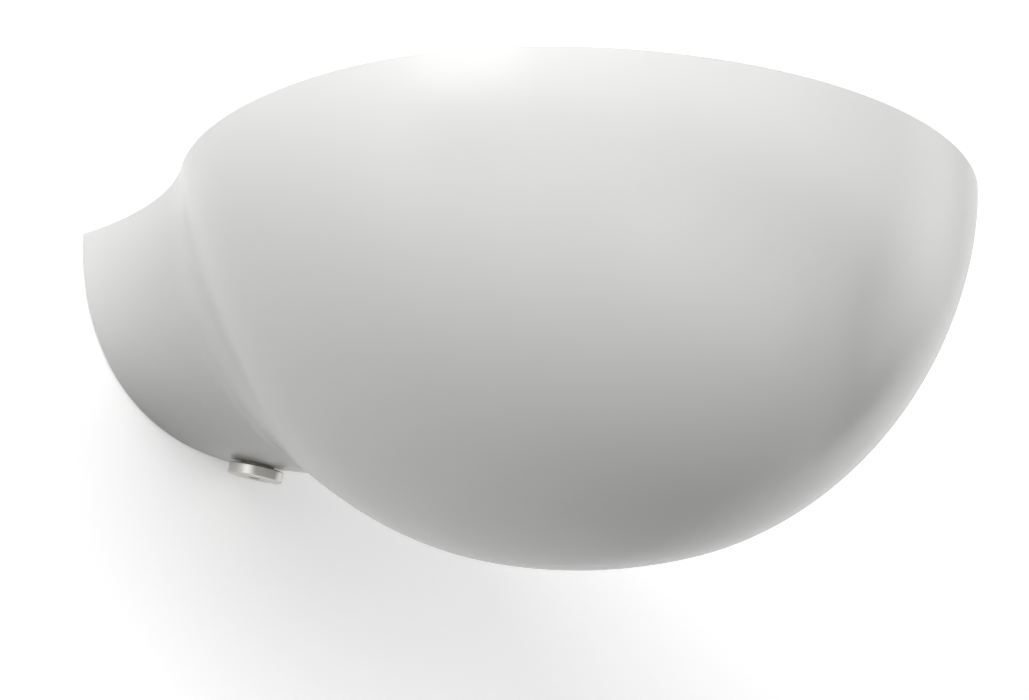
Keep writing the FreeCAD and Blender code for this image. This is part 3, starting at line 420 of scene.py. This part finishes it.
def skin_rows(sizes, inset, columns):
    """Rows of points of the shell's skin from the wall to the tip."""
    width, depth, foot, touch = outlines(sizes, inset)
    front = sizes.projection - inset - sizes.rim_centre
    stations = list(np.linspace(0, foot, NECK_ROWS, endpoint=False))
    stations += list(np.linspace(foot, touch, CREASE_ROWS, endpoint=False))
    stations += list(np.linspace(touch, sizes.rim_centre, REAR_ROWS, endpoint=False))
    stations += [sizes.rim_centre + front * math.sin(math.pi / 2 * i / FRONT_ROWS)
                 for i in range(FRONT_ROWS + 1)]
    rows = []
    for station in stations:
        power = squareness(sizes, station)
        row = []
        for j in range(columns + 1):
            angle = math.pi * (j / columns - 0.5)
            side = math.sin(angle)
            drop = math.cos(angle) if 0 < j < columns else 0.0
            reach = (abs(side) ** power + drop ** power) ** (-1 / power)
            row.append((width(station) * reach * side, -station,
                        sizes.rim_height - depth(station) * reach * drop))
        rows.append(row)
    return rows


def skin_height(sizes, inset, x, station):
    """Height of the skin at a place."""
    width, depth = outlines(sizes, inset)[:2]
    power = squareness(sizes, station)
    share = max(0.0, 1 - (abs(x) / width(station)) ** power)
    return sizes.rim_height - depth(station) * share ** (1 / power)


def screw_axis(sizes):
    """Point on the neck's keel under the screw, and the direction out of it."""
    slope = math.tan(sizes.keel_flare)
    height = sizes.rim_height - sizes.neck_depth - sizes.screw_station * slope
    point = Vector((0, -sizes.screw_station, height))
    return point, Vector((0, math.sin(sizes.keel_flare), -math.cos(sizes.keel_flare)))


# Posts under the reflector's flange: x and station; then their radius and top
POSTS = ((64 * MM, 38 * MM), (112 * MM, 224 * MM))
POST_RADIUS = 4.5 * MM
POST_TOP = 23 * MM
# Lugs that hang in the bracket's ears
LUG_INNER = 55 * MM
LUG_OUTER = 69.3 * MM
LUG_STATION = 10 * MM
LUG_HEIGHT = 6 * MM
LUG_RADIUS = 2.5 * MM
# Boss around the locking screw, from its top to inside the wall
BOSS_RADIUS = 8 * MM
BOSS_TOP = 5.5 * MM
BOSS_LENGTH = 3.4 * MM
SPOT_FACE_DEPTH = 0.3 * MM
# Reach of a cut past the skin, on each side
CUT_REACH = 8 * MM


def add_post(builder, sizes, x, station):
    """Round post from the middle of the wall up to the reflector's flange."""
    upper, lower = [], []
    for angle in circle_angles(40):
        px = x + POST_RADIUS * math.cos(angle)
        ps = station + POST_RADIUS * math.sin(angle)
        upper.append(builder.verts.new((px, -ps, POST_TOP)))
        lower.append(builder.verts.new((px, -ps, skin_height(sizes, sizes.wall / 2, px, ps))))
    for i in range(len(upper)):
        j = (i + 1) % len(upper)
        builder.faces.new((lower[i], lower[j], upper[j], upper[i]))
    builder.faces.new(upper)
    builder.faces.new(lower)


def add_skins(builder, sizes, columns):
    """Outer and inner skin, the rim between them and the edge at the wall."""
    grids = []
    for inset in (0.0, sizes.wall):
        rows = skin_rows(sizes, inset, columns)
        grid = [[builder.verts.new(point) for point in row] for row in rows[:-1]]
        tip = builder.verts.new(rows[-1][0])
        grids.append((grid, tip))
        for near, far in zip(grid, grid[1:]):
            for j in range(columns):
                builder.faces.new((near[j], near[j + 1], far[j + 1], far[j]))
        for j in range(columns):
            builder.faces.new((grid[-1][j], grid[-1][j + 1], tip))
    outer_rim, inner_rim = ([row[0] for row in grid] + [tip] + [row[-1] for row in reversed(grid)]
                            for grid, tip in grids)
    outer_edge, inner_edge = grids[0][0][0], grids[1][0][0]
    for first, second in ((outer_rim, inner_rim), (outer_edge, inner_edge)):
        for i in range(len(first) - 1):
            builder.faces.new((first[i], first[i + 1], second[i + 1], second[i]))


def round_edges(piece, radius, least_angle):
    """Bevel on the sharp edges of a piece's mesh."""
    builder = bmesh.new()
    builder.from_mesh(piece.data)
    bmesh.ops.recalc_face_normals(builder, faces=builder.faces[:])
    weight = builder.edges.layers.float.new("bevel_weight_edge")
    for edge in builder.edges:
        if edge.is_manifold and edge.calc_face_angle() > math.radians(least_angle):
            edge[weight] = 1.0
    builder.to_mesh(piece.data)
    builder.free()
    rounding = piece.modifiers.new("cast_edges", "BEVEL")
    rounding.width = radius
    rounding.segments = 3
    rounding.limit_method = "WEIGHT"
    rounding.harden_normals = True


class SCONCE_OT_shell(bpy.types.Operator):
    """Cast shell: outer and inner skin, rim, posts, lugs and screw boss"""
    bl_idname = "sconce.shell"
    bl_label = "Shell"

    def execute(self, context):
        sizes = context.scene.sconce_shell
        builder = bmesh.new()
        add_skins(builder, sizes, SKIN_COLUMNS)
        enamel = gloss_enamel(context.scene.sconce_finish.enamel)
        piece = new_piece("shell_casting", builder, enamel, "fixture", "shell")
        point, out = screw_axis(sizes)
        cut_round(piece, axis_place(point - out * CUT_REACH, out), sizes.screw_hole, 2 * CUT_REACH)
        cut_round(piece, axis_place(point - out * SPOT_FACE_DEPTH, out), sizes.spot_face, CUT_REACH)
        builder = bmesh.new()
        builder.from_mesh(piece.data)
        for side in (-1, 1):
            for x, station in POSTS:
                add_post(builder, sizes, side * x, station)
            span = LUG_OUTER - LUG_INNER
            lathe(builder, [(0, 0), (LUG_RADIUS, 0), (LUG_RADIUS, span), (0, span)],
                  axis_place((side * LUG_INNER, -LUG_STATION, LUG_HEIGHT), (side, 0, 0)))
        hole = sizes.screw_hole
        lathe(builder, [(hole, 0), (BOSS_RADIUS, 0), (BOSS_RADIUS, BOSS_LENGTH), (hole, BOSS_LENGTH)],
              axis_place(point - out * BOSS_TOP, out))
        builder.to_mesh(piece.data)
        builder.free()
        round_edges(piece, sizes.edge_radius, 45)
        return {"FINISHED"}


# Coil of the filament: its turns, and the wire's radius as a share of the coil's outer radius
FILAMENT_TURNS = 120
WIRE_SHARE = 0.18


class SCONCE_OT_filament(bpy.types.Operator):
    """Coiled filament inside the lamp's tube"""
    bl_idname = "sconce.filament"
    bl_label = "Filament"

    def execute(self, context):
        # Coiled tungsten wire: a dull dark metal
        tungsten = metal("tungsten_wire", "77736E", 0.45, 0.3)
        low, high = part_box("filament")
        middle = (low + high) / 2
        radius = (high.z - low.z) / 2
        wire = radius * WIRE_SHARE
        builder = bmesh.new()
        place = axis_place((low.x + wire, middle.y, middle.z), (1, 0, 0))
        add_coil(builder, radius - wire * 1.2, wire, place, high.x - low.x - 2 * wire, FILAMENT_TURNS)
        new_piece("filament_coil", builder, tungsten, "fixture", "filament")
        return {"FINISHED"}


class SCONCE_OT_finishes(bpy.types.Operator):
    """Finishes of the construction's own pieces"""
    bl_idname = "sconce.finishes"
    bl_label = "Finishes"

    def execute(self, context):
        steel = context.scene.sconce_finish.steel
        # Bright zinc plating on pressed steel: a bluish metal with soft rolled streaks
        zinc = metal("zinc_plated_steel", steel, 0.34, 2.2, (1, 1, 0.25))
        # Pressed and anodised aluminium sheet: bright, with fine rolling lines along the wall
        bright = metal("anodised_aluminium_sheet", "DCDDDF", 0.2, 1.2, (0.12, 1, 1), 0.002, 0.05)
        # Turned and nickel-plated steel with a satin face: smooth and slightly warm
        nickel = metal("satin_nickel_plated_steel", "D2D0CB", 0.36, 0.8, (1, 1, 1), 0.002, 0.05)
        # Drawn brass: a warm yellow metal
        brass = metal("drawn_brass", "C9A45A", 0.28, 0.8)
        # Moulded thermoplastic: even white with a soft gloss
        plastic = solid_colour("moulded_white_pbt", "EAE9E4", 0.35, 1.5, 1.2, 0.004, 0.03)
        # Moulded nylon: milky and slightly waxy
        nylon = solid_colour("moulded_natural_nylon", "D9D6CC", 0.5, 1.53, 0.8, 0.004)
        # Pressed and fired steatite: off-white, dry and faintly speckled
        ceramic = solid_colour("fired_steatite", "E6E1D4", 0.62, 1.55, 0.5, 0.01, 0.1)
        # Silicone rubber sleeves: matt, with a faint bloom
        brown = solid_colour("brown_silicone_sleeve", "5A3421", 0.55, 1.43, 0.7, 0.004, 0.1, 0.2)
        blue = solid_colour("blue_silicone_sleeve", "2A5EA8", 0.55, 1.43, 0.7, 0.004, 0.1, 0.2)
        # The earth lead's sleeve: green with yellow stripes along it
        green = striped_sleeve("green_yellow_silicone_sleeve", "3F8F3A", "E3CF3A", 1.1)
        # Hardened float glass and fused quartz: clear, smooth, with a faint green or no tint
        pane = clear_glass("hardened_float_glass", "F4FBF8", 0.02, 1.52)
        quartz = clear_glass("fused_quartz", "FDFEFE", 0.01, 1.46)
        finishes = {
            zinc: ("wall_bracket", "earth_washer", "holder_screws", "reflector_screws",
                   "terminal_block_screw", "earth_screw", "glass_clips", "clamp_nut", "terminal_screws",
                   "contact_spring_left", "contact_spring_right"),
            bright: ("reflector",),
            nickel: ("contact_left", "contact_right", "lamp_buttons", "locking_screw"),
            brass: ("terminal_inserts", "earth_tag", "spade_connector"),
            plastic: ("cable_bush", "terminal_block"),
            nylon: ("screw_washer",),
            ceramic: ("lampholder_left", "lampholder_right", "lamp_caps", "lead_saddle"),
            brown: ("live_lead",),
            blue: ("neutral_lead",),
            green: ("earth_lead",),
            pane: ("glass_screen",),
            quartz: ("lamp_tube",),
        }
        for material, nodes in finishes.items():
            for name in nodes:
                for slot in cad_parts[name].material_slots:
                    slot.material = material
        return {"FINISHED"}


# ---- Stage ----
# Name, colour setting, share of its light that reaches the object, place and turn about X of each backdrop
BACKDROPS = (
    ("studio_wall", "backdrop", 0.7, (0, 0.6 * MM, 0), math.radians(90)),
    ("studio_floor", "floor", 0.06, (0, -3.0, -1.5), 0.0),
)
BACKDROP_HALF_SIZE = 4.0
# Name of the lamp's power setting, size in metres and place. All are aimed at the middle of the object.
LAMPS = (
    ("key", (2.0, 1.4), (-1.6, -1.4, 1.5)),
    ("left", (1.6, 1.2), (-2.4, -0.8, 0.7)),
    ("front", (1.6, 1.6), (0.6, -2.8, 0.9)),
    ("right", (0.8, 2.0), (2.0, -0.9, 0.4)),
    ("low", (2.0, 1.2), (0.0, -1.8, -1.3)),
)
LAMP_AIM = (0, -0.15, 0)
# Sky by the sine of its elevation: no light below the first, full side light at the second, and from the
# third on the strength of the top
SKY_FOOT = -0.15
SKY_SIDES = 0.1
SKY_TOP = 0.7


class SCONCE_OT_stage(bpy.types.Operator):
    """Wall, floor, lamps and camera"""
    bl_idname = "sconce.stage"
    bl_label = "Stage"

    def execute(self, context):
        scene = context.scene
        studio = scene.sconce_studio
        colours = scene.sconce_finish
        for name, colour, bounce, place, turn in BACKDROPS:
            builder = bmesh.new()
            bmesh.ops.create_grid(builder, x_segments=1, y_segments=1, size=BACKDROP_HALF_SIZE,
                                  matrix=Matrix.Translation(place) @ Matrix.Rotation(turn, 4, "X"))
            mesh = bpy.data.meshes.new(name)
            builder.to_mesh(mesh)
            builder.free()
            paint = stage_paint(name + "_paint", getattr(colours, colour), bounce, studio.wall_lift)
            mesh.materials.append(paint)
            piece = bpy.data.objects.new(name, mesh)
            scene.collection.objects.link(piece)
        for name, size, place in LAMPS:
            data = bpy.data.lights.new(name + "_lamp", "AREA")
            data.shape = "RECTANGLE"
            data.size, data.size_y = size
            data.energy = getattr(studio, name)
            lamp = bpy.data.objects.new(name + "_lamp", data)
            lamp.location = place
            lamp.rotation_euler = (Vector(LAMP_AIM) - Vector(place)).to_track_quat("-Z", "Y").to_euler()
            lamp.visible_camera = False
            scene.collection.objects.link(lamp)
        self.sky(scene, studio)
        self.camera(scene, studio)
        scene.view_settings.view_transform = "Standard"
        return {"FINISHED"}

    def sky(self, scene, studio):
        """Even light from the sides that changes towards the top. The camera sees it as white."""
        world = bpy.data.worlds.new("studio_sky")
        scene.world = world
        world.use_nodes = True
        tree = world.node_tree
        tree.nodes.clear()
        rays = add_node(tree, "ShaderNodeLightPath")
        direction = add_node(tree, "ShaderNodeTexCoord").outputs["Generated"]
        height = add_node(tree, "ShaderNodeSeparateXYZ", links=[(direction, 0)])
        sides = add_node(tree, "ShaderNodeMapRange",
                         {"From Min": SKY_FOOT, "From Max": SKY_SIDES,
                          "To Min": 0.0, "To Max": studio.sky_horizon},
                         [(height.outputs["Z"], "Value")])
        rise = studio.sky_top - studio.sky_horizon
        above = add_node(tree, "ShaderNodeMapRange",
                         {"From Min": SKY_SIDES, "From Max": SKY_TOP, "To Min": 0.0, "To Max": rise},
                         [(height.outputs["Z"], "Value")])
        level = add_node(tree, "ShaderNodeMath", {"operation": "ADD"},
                         [(sides.outputs[0], 0), (above.outputs[0], 1)])
        strength = add_node(tree, "ShaderNodeMix", {"data_type": "FLOAT", 3: 1.0},
                            [(rays.outputs["Is Camera Ray"], 0), (level.outputs[0], 2)])
        light = add_node(tree, "ShaderNodeBackground", {"Color": (1, 1, 1, 1)},
                         [(strength.outputs[0], "Strength")])
        add_node(tree, "ShaderNodeOutputWorld", links=[(light.outputs[0], "Surface")])

    def camera(self, scene, studio):
        """Camera of the photograph: 2.1 m away, below the rim and left of the front."""
        turn, lift = math.radians(CAMERA_TURN), math.radians(CAMERA_LIFT)
        back = Vector((math.sin(turn) * math.cos(lift), -math.cos(turn) * math.cos(lift), math.sin(lift)))
        right = Vector((math.cos(turn), math.sin(turn), 0))
        up = right.cross(-back)
        place = right * CAMERA_RIGHT - up * CAMERA_DOWN + back * CAMERA_BACK
        place.z += scene.sconce_shell.rim_height
        data = bpy.data.cameras.new("camera")
        data.sensor_width = SENSOR_WIDTH
        data.lens = studio.lens
        data.clip_end = 50
        camera = bpy.data.objects.new("camera", data)
        camera.matrix_world = Matrix.Translation(place) @ Matrix((right, up, back)).transposed().to_4x4()
        scene.collection.objects.link(camera)
        scene.camera = camera


class SCONCE_PT_panel(bpy.types.Panel):
    """Panel that builds the sconce's finishes and its stage"""
    bl_idname = "SCONCE_PT_panel"
    bl_label = "Uplighter wall sconce"
    bl_space_type = "VIEW_3D"
    bl_region_type = "UI"
    bl_category = "Sconce"

    def draw(self, context):
        for name in ("stage", "shell", "filament", "finishes"):
            self.layout.operator("sconce." + name)
        for group in (context.scene.sconce_shell, context.scene.sconce_finish, context.scene.sconce_studio):
            for name in group.__annotations__:
                self.layout.prop(group, name)


GROUPS = {"sconce_shell": ShellSizes, "sconce_finish": FinishColours, "sconce_studio": StudioSettings}
CLASSES = (ShellSizes, FinishColours, StudioSettings, SCONCE_OT_stage, SCONCE_OT_shell, SCONCE_OT_filament,
           SCONCE_OT_finishes, SCONCE_PT_panel)


def register():
    for item in CLASSES:
        bpy.utils.register_class(item)
    for name, group in GROUPS.items():
        setattr(bpy.types.Scene, name, PointerProperty(type=group))


def unregister():
    for name in GROUPS:
        delattr(bpy.types.Scene, name)
    for item in reversed(CLASSES):
        bpy.utils.unregister_class(item)


def main():
    register()
    bpy.ops.sconce.stage()
    bpy.ops.sconce.shell()
    bpy.ops.sconce.filament()
    bpy.ops.sconce.finishes()


if __name__ == "__main__":
    main()
